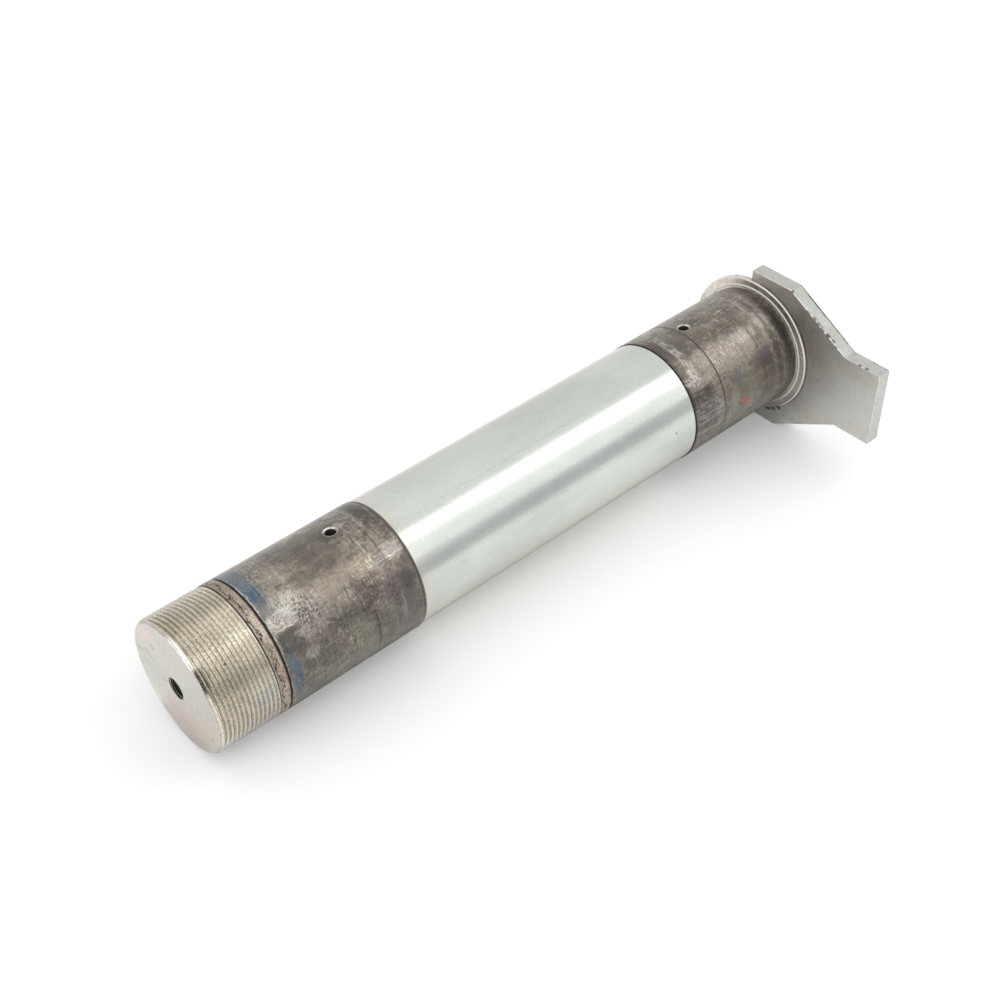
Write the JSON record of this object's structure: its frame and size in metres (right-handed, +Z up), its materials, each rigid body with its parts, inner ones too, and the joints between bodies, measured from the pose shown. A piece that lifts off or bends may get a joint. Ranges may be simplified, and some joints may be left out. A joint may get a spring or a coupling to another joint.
{
  "type": "plough pin",
  "caption": "Heavy pivot pin: a round bar with a threaded end, two bearing sections, grease holes and a welded lock plate with a tongue.",
  "frame": {"origin": "on the pin's axis, in the plane of the collar's seating face", "axes": "+X along the pin's axis, away from the threaded end and towards the lock plate; -Y along the tongue of the lock plate; +Z up as the pin lies on the edge of its plate"},
  "size_m": [0.341, 0.11, 0.08],
  "materials": {
    "bar_steel": "zinc plated turned steel with dark scaled bearing sections",
    "plate_steel": "satin zinc plated flat steel",
    "weld_metal": "as welded"
  },
  "bodies": {
    "root": {"pin_shaft": "bar_steel", "lock_plate": "plate_steel", "weld_bead": "weld_metal"}
  },
  "joints": []
}
